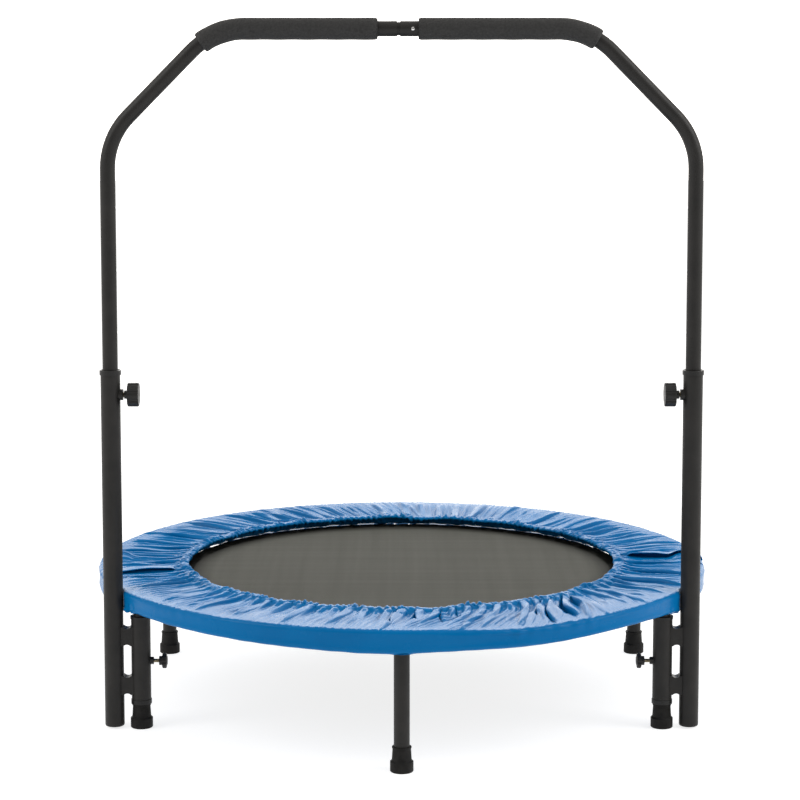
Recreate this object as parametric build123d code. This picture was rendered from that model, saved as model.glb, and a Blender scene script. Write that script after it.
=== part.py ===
from build123d import *
from math import asin, atan2, cos, degrees, radians, sin, sqrt, tan
import os

# A folding mini trampoline with a height-adjustable handrail.
# Frame: +Z up, origin on the floor under the centre of the ring, +X to the user's right seen
# from the handrail side, and the handrail stands on the -Y side.  All sizes are in millimetres.

# ---- steel tube stock ----
TUBE_R = 12.5            # ring, legs and handrail
TUBE_WALL = 1.5
POST_R = 16.0            # posts and leg sleeves
TUBE_BORE = TUBE_R - TUBE_WALL
POST_BORE = POST_R - TUBE_WALL

# ---- ring, legs and feet ----
RING_OD = 1016.0         # nominal 40 inch ring, outside to outside
RING_R = RING_OD / 2 - TUBE_R
RING_Z = 210.0           # height of the ring tube's centreline
RING_END = 6.0           # each tube end stops this far from the fold line
LEG_AZIMUTHS = {"front": -90, "front_left": 210, "front_right": -30,
                "rear": 90, "rear_left": 150, "rear_right": 30}
LEG_TOP = RING_Z - TUBE_R - 1.0
SPIGOT_R = TUBE_BORE - 0.2
SPIGOT_LOW = 150.0
FOOT_R = 18.3
FOOT_FLARE_TOP = 18.5
FOOT_NECK_LOW_R = 15.6
FOOT_NECK_TOP_R = 14.4
FOOT_TOP = 40.0
FOOT_SOLE = 6.0          # rubber under the tube's end
FOOT_BORE = TUBE_R + 0.05

# ---- fold hinge, one at each side on the X axis ----
PIVOT_Z = 232.0
LUG_R = 7.0
LUG_FOOT = (8.0, 30.0)   # the lug stands on the tube between these distances from the fold line
LUG_LOW = 216.0
LUG_HIGH = 226.0
LUG_CENTRE_HALF = 1.5    # the rear lug's half thickness
LUG_GAP = 0.3
LUG_SIDE = 2.5           # thickness of each front lug
PIVOT_R = 3.0
PIVOT_HOLE = PIVOT_R + 0.05
PIVOT_HEAD_R = 5.2
PIVOT_HEAD = 3.4
PIVOT_NUT_R = 5.6

# ---- jumping mat, its hooks and springs ----
MAT_R = 388.0
MAT_TOP = 211.0
MAT_THICK = 2.0
MAT_SEAM = 0.5           # half the gap left at the fold line between the two mat halves
HEM_WIDTH = 26.0
HEM_THICK = 1.2
SPRING_COUNT = 36
HOOK_WIRE_R = 1.6
HOOK_HALF = 22.0         # half the width of a triangular ring
HOOK_IN = 8.0            # the ring's straight side lies this far inside the mat's edge
HOOK_OUT = 24.0          # and its tip this far outside
HOOK_Z = MAT_TOP - MAT_THICK - HOOK_WIRE_R - 0.1
COIL_R = 5.0
COIL_WIRE_R = 0.9
COIL_LOW_R = 416.0       # distances from the ring's centre where the coil starts and ends
COIL_HIGH_R = 472.0
SPRING_HOLE_R = 1.9

# ---- padded cover over the springs ----
COVER_IN_R = 369.0
COVER_OUT_R = 522.0
COVER_IN_TOP = 223.5
COVER_OUT_TOP = 230.0
COVER_THICK = 4.0
COVER_SKIRT_LOW = 195.5
COVER_SKIRT_IN_R = RING_OD / 2 + 1.5
COVER_EDGE = 3.0         # rounding of the outer top edge
COVER_SEAM = 1.0         # half the gap between the two covers at the fold line
HINGE_NOTCH_HALF = 15.0
HINGE_NOTCH_LONG = 34.0

# ---- posts and the sleeves that clamp them to two legs ----
POST_X = 473.5
POST_LOW = 6.0
POST_TOP = 591.6
POST_CAP_LOW = 2.5
COLLAR_R = 17.5
COLLAR_LOW = 586.8
COLLAR_TOP = 594.6
COLLAR_BORE = 14.2
SLEEVE_LOW = 47.5
SLEEVE_TOP = 183.0
SLEEVE_COLLAR_R = 17.0
SLEEVE_COLLAR_BORE = TUBE_R + 0.1
SLEEVE_LINER = 12.0      # the collar's liner runs this far into the sleeve
SLEEVE_COLLAR_LOW = 40.3
SLEEVE_COLLAR_TOP = 187.0
WEB_HEIGHTS = ((56.0, 87.6), (138.0, 169.5))
WEB_THICK = 20.0
WEB_SCOOP_R = 8.0
WEB_SCOOP = 2.5

# ---- clamping knobs: distances along the knob's axis start at the tube's centreline ----
SCREW_TIP = TUBE_R + 0.3
SCREW_FIT = 0.05
POST_KNOB_Z = 554.0
POST_SCREW_R = 4.0
POST_NUT_R = 9.0
POST_NUT = 4.5
POST_KNOB = {"hub_start": 22.5, "hub_r": 6.9, "head_start": 28.0, "head_end": 46.3,
             "head_r": 19.5, "lobes": 8, "notch_r": 4.6, "notch_at": 21.9, "dome": 0.6}
LEG_KNOB_Z = 111.7
LEG_SCREW_R = 3.0
LEG_NUT_AF = 11.0
LEG_NUT = 5.0
LEG_KNOB = {"hub_start": 30.0, "hub_r": 7.5, "head_start": 35.2, "head_end": 42.2,
            "head_r": 12.5, "lobes": 6, "notch_r": 4.4, "notch_at": 14.9, "dome": 1.8}

# ---- handrail ----
RAIL_LOW = 440.0
RAIL_CORNER_Z = 970.0
RAIL_TOP_Z = 1144.8
RAIL_TOP_X = 301.5
RAIL_BEND_R = 120.0
RAIL_HOLE_PITCH = 101.5  # height settings, the lowest hole at the knob
RAIL_HOLE_COUNT = 4
RAIL_HOLE_R = 4.4
RAIL_SPLIT = -5.0        # where the two halves meet
RAIL_SPLIT_HALF = 2.5
COUPLER_R = TUBE_BORE - 0.1
COUPLER_WALL = 1.6
COUPLER_HALF = 50.0
BUSH_R = POST_BORE - 0.1
BUSH_HEIGHT = 22.0
GRIP_R = 17.8
GRIP_BORE = TUBE_R + 0.05
GRIP_LEFT = (38.3, 36.0)     # inner end's distance from the centre plane, turn around the bend
GRIP_RIGHT = (26.5, 31.5)
BUTTON_X = 18.0
BUTTON_R = 2.9
BUTTON_HOLE = 3.0
BUTTON_PROUD = 1.8
BUTTON_FLANGE_R = 4.2
BUTTON_FLANGE = 1.0
CLIP_THICK = 0.6
CLIP_WIDTH = 6.0

LEG_X = RING_R * cos(radians(LEG_AZIMUTHS["front_right"]))
RAIL_Y = RING_R * sin(radians(LEG_AZIMUTHS["front_right"]))
SIDES = {"left": -1, "right": 1}
nodes = {}


def add(name, *shapes):
    """Store a node made of one or more separate solids."""
    solids = [solid for shape in shapes for solid in shape.solids()]
    nodes[name] = solids[0] if len(solids) == 1 else Compound(solids)


def rod(radius, low, high):
    """Upright cylinder between two heights."""
    return Pos(0, 0, (low + high) / 2) * Cylinder(radius, high - low)


def pipe(radius, bore, low, high):
    """Upright hollow cylinder between two heights."""
    return rod(radius, low, high) - rod(bore, low - 1, high + 1)


def turned(*points):
    """Solid of revolution about Z from an outline of (radius, height) points."""
    face = make_face(Plane.XZ * Polyline(*points, close=True))
    return revolve(face, Axis.Z)


def lying(radius, start, end):
    """Cylinder along +X between two distances."""
    return Rot(0, 90, 0) * rod(radius, start, end)


def inward(side, x, y, z):
    """Location whose +Z axis points from a tube at (x, y, z) towards the centre plane."""
    return Pos(side * x, y, z) * Rot(0, -side * 90, 0)


def ring_torus(radius):
    """Whole ring as a solid of the given tube radius."""
    return Pos(0, 0, RING_Z) * Torus(RING_R, radius)


def spring_azimuths(half):
    """Azimuths of the springs of the front (-1) or rear (+1) half."""
    step = 360 / SPRING_COUNT
    return [half * step * (index + 0.5) for index in range(SPRING_COUNT // 2)]


def half_ring(half):
    start = degrees(asin(RING_END / RING_R))
    section = Plane.XZ * Pos(RING_R, RING_Z) * (Circle(TUBE_R) - Circle(TUBE_BORE))
    ring = revolve(section, Axis.Z, 180 - 2 * start)
    ring = Rot(0, 0, start if half > 0 else 180 + start) * ring
    hole = lying(SPRING_HOLE_R, RING_R - TUBE_R - 2, RING_R)
    for azimuth in spring_azimuths(half):
        ring -= Rot(0, 0, azimuth) * Pos(0, 0, RING_Z) * hole
    return ring


def leg_places(half):
    """(name, x, y) of the three legs of one half."""
    key = "rear" if half > 0 else "front"
    return [(name, RING_R * cos(radians(azimuth)), RING_R * sin(radians(azimuth)))
            for name, azimuth in LEG_AZIMUTHS.items() if name.startswith(key)]


def foot():
    outline = ((0, 0), (FOOT_R - 1.2, 0), (FOOT_R, 1.2), (FOOT_R, FOOT_FLARE_TOP - 2.5),
               (FOOT_NECK_LOW_R, FOOT_FLARE_TOP), (FOOT_NECK_TOP_R, FOOT_TOP - 3.0),
               (FOOT_NECK_TOP_R + 0.9, FOOT_TOP - 2.6), (FOOT_NECK_TOP_R + 0.9, FOOT_TOP - 0.5),
               (FOOT_NECK_TOP_R + 0.4, FOOT_TOP), (FOOT_BORE, FOOT_TOP), (FOOT_BORE, FOOT_SOLE),
               (0, FOOT_SOLE))
    return turned(*outline)


def lug(half, offset, thick):
    """Hinge plate standing on the tube's top, rounded about the pivot."""
    near, far = LUG_FOOT
    eye = Pos(0, PIVOT_Z) * Circle(LUG_R)
    base = Pos(half * (near + far) / 2, (LUG_LOW + LUG_HIGH) / 2) * Rectangle(far - near, LUG_HIGH - LUG_LOW)
    outline = make_hull(eye.edges() + base.edges()) - Pos(0, PIVOT_Z) * Circle(PIVOT_HOLE)
    plate = extrude(Plane.YZ.offset(offset) * outline, thick / 2, both=True)
    return plate - ring_torus(TUBE_R + 0.02)


def hinge_parts():
    width = LUG_CENTRE_HALF + LUG_GAP + LUG_SIDE
    side_at = LUG_CENTRE_HALF + LUG_GAP + LUG_SIDE / 2
    front, rear, bolts, nuts = [], [], [], []
    for side in SIDES.values():
        centre = side * RING_R
        front += [lug(-1, centre + side_at, LUG_SIDE), lug(-1, centre - side_at, LUG_SIDE)]
        rear.append(lug(1, centre, 2 * LUG_CENTRE_HALF))
        outer = inward(-side, 0, 0, PIVOT_Z)
        shank = rod(PIVOT_R, side * centre - width - 5.5, side * centre + width)
        head = rod(PIVOT_HEAD_R, side * centre + width, side * centre + width + PIVOT_HEAD)
        head = chamfer(head.edges().sort_by(Axis.Z)[-1], 1.2)
        bolts.append(outer * (shank + head))
        nut = extrude(RegularPolygon(PIVOT_NUT_R, 6) - Circle(PIVOT_R), 5)
        nuts.append(outer * Pos(0, 0, side * centre - width - 5) * nut)
    add("hinge_lugs_front", *front)
    add("hinge_lugs_rear", *rear)
    add("hinge_bolts", *bolts)
    add("hinge_nuts", *nuts)


def half_disc(radius, half, low, high, gap):
    disc = rod(radius, low, high)
    return disc & Pos(0, half * (gap + radius), (low + high) / 2) * Box(3 * radius, 2 * radius, 99)


def triangle_ring():
    """Closed wire triangle at azimuth 0: straight side under the mat, tip towards the spring."""
    corners = ((MAT_R - HOOK_IN, -HOOK_HALF, HOOK_Z), (MAT_R + HOOK_OUT, 0, HOOK_Z),
               (MAT_R - HOOK_IN, HOOK_HALF, HOOK_Z))
    path = FilletPolyline(*corners, radius=3.5, close=True)
    start = path ^ 0
    section = Plane(origin=start.position, z_dir=path % 0) * Circle(HOOK_WIRE_R)
    return sweep(section, path)


def spring():
    """Coil envelope at azimuth 0 with a straight end towards the mat and one into the ring."""
    level = HOOK_Z + HOOK_WIRE_R + COIL_WIRE_R + 0.1
    coil = lying(COIL_R, COIL_LOW_R, COIL_HIGH_R) - lying(COIL_R - 2 * COIL_WIRE_R, 400, 500)
    walls = lying(COIL_R, COIL_LOW_R, COIL_LOW_R + 2) + lying(COIL_R, COIL_HIGH_R - 2, COIL_HIGH_R)
    hooked = MAT_R + HOOK_OUT - 6
    ends = lying(COIL_WIRE_R, hooked, COIL_LOW_R + 1) + lying(COIL_WIRE_R, COIL_HIGH_R - 1, RING_R - TUBE_R + 4)
    return Pos(0, 0, level) * (coil + walls + ends)


def cover(half):
    """Half annulus over the springs with a skirt down the outside of the ring."""
    under = COVER_OUT_TOP - COVER_THICK
    outline = ((COVER_IN_R, COVER_IN_TOP - COVER_THICK), (COVER_IN_R, COVER_IN_TOP - 1),
               (COVER_IN_R + 2, COVER_IN_TOP), (COVER_OUT_R - COVER_EDGE, COVER_OUT_TOP),
               (COVER_OUT_R, COVER_OUT_TOP - COVER_EDGE), (COVER_OUT_R, COVER_SKIRT_LOW),
               (COVER_SKIRT_IN_R, COVER_SKIRT_LOW), (COVER_SKIRT_IN_R, under))
    ring = turned(*outline)
    pad = ring & Pos(0, half * (COVER_SEAM + 400), 200) * Box(1200, 800, 200)
    for side in SIDES.values():
        pad -= Pos(side * POST_X, half * abs(RAIL_Y)) * rod(POST_R + 3, 150, 300)
        notch = Box(2 * HINGE_NOTCH_HALF, 2 * HINGE_NOTCH_LONG, 60)
        pad -= Pos(side * RING_R, 0, PIVOT_Z + 21) * notch
    return pad


def make_half(half):
    """Everything of the front (-1) or rear (+1) half that folds as one."""
    key = "rear" if half > 0 else "front"
    add("ring_" + key, half_ring(half))
    spigots = []
    for name, x, y in leg_places(half):
        spigot = Pos(x, y) * pipe(SPIGOT_R, SPIGOT_R - TUBE_WALL, SPIGOT_LOW, RING_Z)
        spigots.append(spigot - ring_torus(TUBE_R))
        add("leg_" + name, Pos(x, y) * pipe(TUBE_R, TUBE_BORE, FOOT_SOLE, LEG_TOP))
        add("foot_" + name, Pos(x, y) * foot())
    add("leg_spigots_" + key, *spigots)
    add("mat_" + key, half_disc(MAT_R, half, MAT_TOP - MAT_THICK, MAT_TOP, MAT_SEAM))
    hem = half_disc(MAT_R, half, MAT_TOP, MAT_TOP + HEM_THICK, MAT_SEAM)
    add("mat_hem_" + key, hem - rod(MAT_R - HEM_WIDTH, 0, 300))
    turns = [Rot(0, 0, azimuth) for azimuth in spring_azimuths(half)]
    ring, coil = triangle_ring(), spring()
    add("mat_rings_" + key, *[turn * ring for turn in turns])
    add("mat_springs_" + key, *[turn * coil for turn in turns])
    add("cover_" + key, cover(half))


def post(side):
    wall_hole = lying(POST_SCREW_R + 0.2, 0, 30)
    tube = pipe(POST_R, POST_BORE, POST_LOW, POST_TOP)
    tube -= Pos(0, 0, POST_KNOB_Z) * Rot(0, 0, 180 if side > 0 else 0) * wall_hole
    return Pos(side * POST_X, RAIL_Y) * tube


def post_collar():
    """Plastic ring on the post's mouth: a lip over the end and a skirt down the outside."""
    outline = ((COLLAR_BORE, POST_TOP), (COLLAR_BORE, COLLAR_TOP - 0.5), (COLLAR_BORE + 0.5, COLLAR_TOP),
               (COLLAR_R - 1, COLLAR_TOP), (COLLAR_R, COLLAR_TOP - 1), (COLLAR_R, COLLAR_LOW),
               (POST_R + 0.03, COLLAR_LOW), (POST_R + 0.03, POST_TOP))
    return turned(*outline)


def post_cap():
    outline = ((0, POST_CAP_LOW), (POST_R - 2.5, POST_CAP_LOW), (POST_R - 0.6, POST_CAP_LOW + 1),
               (POST_R, POST_LOW - 0.8), (POST_R, POST_LOW), (POST_BORE - 0.1, POST_LOW),
               (POST_BORE - 0.1, POST_LOW + 14), (0, POST_LOW + 14))
    return turned(*outline)


def sleeve(side):
    tube = pipe(POST_R, POST_BORE, SLEEVE_LOW, SLEEVE_TOP)
    hole = Rot(0, 0, 180 if side > 0 else 0) * lying(LEG_SCREW_R + 0.2, 0, 30)
    return Pos(side * LEG_X, RAIL_Y) * (tube - Pos(0, 0, LEG_KNOB_Z) * hole)


def sleeve_collars(side):
    """Plastic liners in the sleeve's two mouths, each with a rim outside."""
    liner_r = POST_BORE - 0.05
    low = pipe(SLEEVE_COLLAR_R, SLEEVE_COLLAR_BORE, SLEEVE_COLLAR_LOW, SLEEVE_LOW)
    low += pipe(liner_r, SLEEVE_COLLAR_BORE, SLEEVE_LOW, SLEEVE_LOW + SLEEVE_LINER)
    high = pipe(SLEEVE_COLLAR_R, SLEEVE_COLLAR_BORE, SLEEVE_TOP, SLEEVE_COLLAR_TOP)
    high += pipe(liner_r, SLEEVE_COLLAR_BORE, SLEEVE_TOP - SLEEVE_LINER, SLEEVE_TOP)
    return [Pos(side * LEG_X, RAIL_Y) * collar for collar in (low, high)]


def webs(side):
    """Two plates that join the post to its sleeve, scooped at top and bottom."""
    middle = (POST_X + LEG_X) / 2
    plates = []
    for low, high in WEB_HEIGHTS:
        plate = Pos(middle, 0, (low + high) / 2) * Box(POST_X - LEG_X, WEB_THICK, high - low)
        scoop = Rot(90, 0, 0) * Cylinder(WEB_SCOOP_R, 2 * WEB_THICK)
        for height in (low + WEB_SCOOP - WEB_SCOOP_R, high - WEB_SCOOP + WEB_SCOOP_R):
            plate -= Pos(middle, 0, height) * scoop
        for x in (LEG_X, POST_X):
            plate -= Pos(x, 0) * rod(POST_R, low - 1, high + 1)
        plates.append(Pos(0, RAIL_Y) * (plate if side > 0 else mirror(plate, Plane.YZ)))
    return plates


def knob_head(shape, screw_r):
    """Plastic knob along +Z: a round hub, then a head with scooped lobes and a domed end."""
    start, end, radius = shape["head_start"], shape["head_end"], shape["head_r"]
    head = rod(radius, start, end)
    head = chamfer(head.edges().filter_by(GeomType.CIRCLE), 1.2)
    for index in range(shape["lobes"]):
        turn = Rot(0, 0, 360 * (index + 0.5) / shape["lobes"])
        head -= turn * Pos(shape["notch_at"], 0) * rod(shape["notch_r"], start - 1, end + 1)
    cap_r = shape["notch_at"] - shape["notch_r"] - 1.5
    dome = turned((0, end), (cap_r, end), (cap_r * 0.7, end + 0.7 * shape["dome"]), (0, end + shape["dome"]))
    knob = head + dome + rod(shape["hub_r"], shape["hub_start"], start)
    return knob - rod(screw_r + SCREW_FIT, shape["hub_start"] - 1, end - 3)


def screw(shape, screw_r):
    stud = rod(screw_r, SCREW_TIP, shape["head_end"] - 3.3)
    return chamfer(stud.edges().sort_by(Axis.Z)[0], 0.8)


def far_side(shape):
    """The piece of a coped shape that lies furthest along +Z."""
    return shape.solids().sort_by(Axis.Z)[-1]


def make_posts():
    caps, plates = [], []
    for key, side in SIDES.items():
        add("post_" + key, post(side))
        add("post_collar_" + key, Pos(side * POST_X, RAIL_Y) * post_collar())
        caps.append(Pos(side * POST_X, RAIL_Y) * post_cap())
        add("sleeve_" + key, sleeve(side))
        add("sleeve_collars_" + key, *sleeve_collars(side))
        plates += webs(side)

        upper = inward(side, POST_X, RAIL_Y, POST_KNOB_Z)
        lower = inward(side, LEG_X, RAIL_Y, LEG_KNOB_Z)
        boss = rod(POST_NUT_R, 0, POST_R + POST_NUT) - rod(POST_SCREW_R + SCREW_FIT, -1, 40)
        boss -= Rot(0, 90, 0) * Cylinder(POST_R, 80)
        nut = extrude(RegularPolygon(LEG_NUT_AF / 2, 6, major_radius=False), POST_R + LEG_NUT)
        nut -= rod(LEG_SCREW_R + SCREW_FIT, -1, 40)
        nut -= Rot(0, 90, 0) * Cylinder(POST_R, 80)
        add("knob_nuts_" + key, upper * far_side(boss), lower * far_side(nut))
        add("post_knob_stud_" + key, upper * screw(POST_KNOB, POST_SCREW_R))
        add("post_knob_head_" + key, upper * knob_head(POST_KNOB, POST_SCREW_R))
        add("leg_knob_stud_" + key, lower * screw(LEG_KNOB, LEG_SCREW_R))
        add("leg_knob_head_" + key, lower * knob_head(LEG_KNOB, LEG_SCREW_R))
    add("post_caps", *caps)
    add("post_webs", *plates)


def rail_path(side):
    """Centreline of one half of the handrail from its foot in the post to the middle joint."""
    inner = RAIL_SPLIT + side * RAIL_SPLIT_HALF
    corners = ((side * POST_X, RAIL_Y, RAIL_LOW), (side * POST_X, RAIL_Y, RAIL_CORNER_Z),
               (side * RAIL_TOP_X, RAIL_Y, RAIL_TOP_Z), (inner, RAIL_Y, RAIL_TOP_Z))
    return FilletPolyline(*corners, radius=RAIL_BEND_R)


def rail_tube(side):
    section = Plane.XY.offset(RAIL_LOW) * Pos(side * POST_X, RAIL_Y) * (Circle(TUBE_R) - Circle(TUBE_BORE))
    tube = sweep(section, rail_path(side))
    for index in range(RAIL_HOLE_COUNT):
        height = POST_KNOB_Z + index * RAIL_HOLE_PITCH
        tube -= inward(side, POST_X, RAIL_Y, height) * rod(RAIL_HOLE_R, 0, 20)
    return tube


def grip(side, inner, turn):
    """Foam sleeve on the top bar that runs part of the way round the bend."""
    slope = atan2(RAIL_TOP_Z - RAIL_CORNER_Z, POST_X - RAIL_TOP_X)
    tangent = RAIL_TOP_X - RAIL_BEND_R * tan(slope / 2)
    straight = Line((side * inner, RAIL_Y, RAIL_TOP_Z), (side * tangent, RAIL_Y, RAIL_TOP_Z))
    low = RAIL_TOP_Z - RAIL_BEND_R
    points = [(side * (tangent + RAIL_BEND_R * sin(radians(angle))), RAIL_Y,
               low + RAIL_BEND_R * cos(radians(angle))) for angle in (turn / 2, turn)]
    bend = ThreePointArc(straight @ 1, points[0], points[1])
    section = Plane(origin=straight @ 0, z_dir=(side, 0, 0)) * (Circle(GRIP_R) - Circle(GRIP_BORE))
    return sweep(section, straight + bend)


def make_handrail():
    centre = Pos(0, RAIL_Y, RAIL_TOP_Z)
    button_hole = centre * Pos(BUTTON_X, 0) * Rot(90, 0, 0) * rod(BUTTON_HOLE, 5, 20)
    add("rail_tube_left", rail_tube(-1))
    add("rail_tube_right", rail_tube(1) - button_hole)
    coupler = lying(COUPLER_R, -COUPLER_HALF, COUPLER_HALF)
    coupler -= lying(COUPLER_R - COUPLER_WALL, -COUPLER_HALF - 1, COUPLER_HALF + 1)
    add("rail_coupler", centre * coupler - button_hole)
    bushes = [Pos(side * POST_X, RAIL_Y) * pipe(BUSH_R, TUBE_R + 0.03, RAIL_LOW + 2, RAIL_LOW + BUSH_HEIGHT)
              for side in SIDES.values()]
    add("rail_bushes", *bushes)
    add("grip_left", grip(-1, *GRIP_LEFT))
    add("grip_right", grip(1, *GRIP_RIGHT))

    wall = COUPLER_R - COUPLER_WALL
    back = wall - BUTTON_FLANGE - 1.0
    outline = ((0, back), (BUTTON_FLANGE_R, back), (BUTTON_FLANGE_R, back + BUTTON_FLANGE),
               (BUTTON_R, back + BUTTON_FLANGE), (BUTTON_R, TUBE_R + BUTTON_PROUD - 1.2),
               (BUTTON_R * 0.8, TUBE_R + BUTTON_PROUD - 0.4), (BUTTON_R * 0.4, TUBE_R + BUTTON_PROUD),
               (0, TUBE_R + BUTTON_PROUD))
    add("snap_button", centre * Pos(BUTTON_X, 0) * Rot(90, 0, 0) * turned(*outline))
    seat = -back + CLIP_THICK / 2 + 0.05
    rest = sqrt(wall**2 - (CLIP_WIDTH / 2) ** 2) - CLIP_THICK / 2 - 0.1
    strip = FilletPolyline((BUTTON_X + 4, seat), (-20, seat + 1), (-30, 1), (-20, rest), (BUTTON_X, rest),
                           radius=3)
    leaf = extrude(trace(strip, CLIP_THICK), CLIP_WIDTH / 2, both=True)
    add("button_clip", centre * leaf)


hinge_parts()
make_half(-1)
make_half(1)
make_posts()
make_handrail()

os.makedirs("parts", exist_ok=True)
for node, shape in nodes.items():
    export_step(shape, "parts/" + node + ".step")
print(len(nodes), "nodes")
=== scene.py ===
import math

import bpy
import numpy as np
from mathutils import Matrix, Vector


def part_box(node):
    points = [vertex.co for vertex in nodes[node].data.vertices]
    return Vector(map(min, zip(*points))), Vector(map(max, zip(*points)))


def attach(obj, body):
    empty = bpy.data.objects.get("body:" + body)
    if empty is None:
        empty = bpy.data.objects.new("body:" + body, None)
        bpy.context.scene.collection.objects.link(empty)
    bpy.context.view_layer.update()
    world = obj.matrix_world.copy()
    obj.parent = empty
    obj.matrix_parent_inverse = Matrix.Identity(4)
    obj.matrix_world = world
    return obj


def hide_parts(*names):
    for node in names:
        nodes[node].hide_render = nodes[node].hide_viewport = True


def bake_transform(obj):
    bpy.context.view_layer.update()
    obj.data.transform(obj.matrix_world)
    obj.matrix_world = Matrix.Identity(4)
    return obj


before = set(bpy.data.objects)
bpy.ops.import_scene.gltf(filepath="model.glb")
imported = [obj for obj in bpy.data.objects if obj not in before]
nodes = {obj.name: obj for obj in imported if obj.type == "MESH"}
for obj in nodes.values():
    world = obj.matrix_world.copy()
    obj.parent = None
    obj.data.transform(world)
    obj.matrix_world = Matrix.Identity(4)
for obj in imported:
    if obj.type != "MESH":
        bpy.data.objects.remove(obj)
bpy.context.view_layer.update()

MM = 0.001
TAU = 2 * math.pi


# ---------------------------------------------------------------- places read from the frame
def centre_of(node):
    low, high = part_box(node)
    return (low + high) / 2


ring_low, ring_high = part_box("ring_front")
RING_Z = (ring_low.z + ring_high.z) / 2
RING_TUBE = (ring_high.z - ring_low.z) / 2
RING_R = (ring_high.x - ring_low.x) / 2 - RING_TUBE
cover_low, cover_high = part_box("cover_front")
COVER_R = (cover_high.x - cover_low.x) / 2
COVER_TOP = cover_high.z
COVER_LOW = cover_low.z
mat_low, mat_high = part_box("mat_front")
MAT_R = (mat_high.x - mat_low.x) / 2
MAT_TOP = mat_high.z
post = centre_of("post_right")
POST_X, POST_Y = post.x, post.y
POST_R = (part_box("post_right")[1].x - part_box("post_right")[0].x) / 2
COVER_IN = 369 * MM      # radius of the cover's inner edge
SPRING_COUNT = 36


# ---------------------------------------------------------------- mesh helpers
def mesh_object(name, points, faces, material, smooth=True):
    mesh = bpy.data.meshes.new(name)
    mesh.from_pydata(np.asarray(points).tolist(), [], [list(face) for face in faces])
    mesh.materials.append(material)
    mesh.polygons.foreach_set("use_smooth", [smooth] * len(mesh.polygons))
    mesh.update()
    piece = bpy.data.objects.new(name, mesh)
    bpy.context.scene.collection.objects.link(piece)
    return piece


def grid_faces(rows, columns, closed_rows=False):
    """Quads over a grid of points stored row by row; each row closes on itself."""
    row = np.arange(rows if closed_rows else rows - 1)
    row, column = np.meshgrid(row, np.arange(columns), indexing="ij")
    up, right = (row + 1) % rows, (column + 1) % columns
    quads = [row * columns + column, row * columns + right, up * columns + right, up * columns + column]
    return np.stack(quads, -1).reshape(-1, 4)


def swept_tube(path, radii, sides, closed=False):
    """Points and faces of a tube along a path of points, with one radius or a radius at each."""
    path = np.asarray(path, float)
    if closed:
        ahead, behind = np.roll(path, -1, 0), np.roll(path, 1, 0)
        tangent = ahead - behind
    else:
        tangent = np.gradient(path, axis=0)
    tangent /= np.linalg.norm(tangent, axis=1)[:, None]
    side = np.cross(tangent[0], (0.0, 0.0, 1.0))
    if np.linalg.norm(side) < 0.1:
        # the path starts upright
        side = np.cross(tangent[0], (0.0, 1.0, 0.0))
    frames = []
    for direction in tangent:
        side = side - direction * (side @ direction)
        side = side / np.linalg.norm(side)
        frames.append((side, np.cross(direction, side)))
    angle = np.arange(sides) * TAU / sides
    ring = [point + radius * (np.outer(np.cos(angle), a) + np.outer(np.sin(angle), b))
            for point, radius, (a, b) in zip(path, np.broadcast_to(radii, len(path)), frames)]
    return np.concatenate(ring), grid_faces(len(path), sides, closed)


def gather(parts):
    """Joins (points, faces) pairs into one."""
    points, faces, start = [], [], 0
    for some_points, some_faces in parts:
        points.append(some_points)
        faces += [[index + start for index in face] for face in some_faces]
        start += len(some_points)
    return np.concatenate(points), faces


def turn_z(points, angle):
    """Points turned about the upright axis."""
    c, s = math.cos(angle), math.sin(angle)
    return points @ np.array([[c, s, 0], [-s, c, 0], [0, 0, 1]])


def smoothstep(low, high, value):
    t = np.clip((value - low) / (high - low), 0, 1)
    return t * t * (3 - 2 * t)


# ---------------------------------------------------------------- material helpers
BANDS_PER_METRE = 3.18   # a wave texture of scale 1 has this many bands in a metre


def bands(width):
    """The wave texture's scale for bands of a width."""
    return 1 / width / BANDS_PER_METRE


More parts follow.
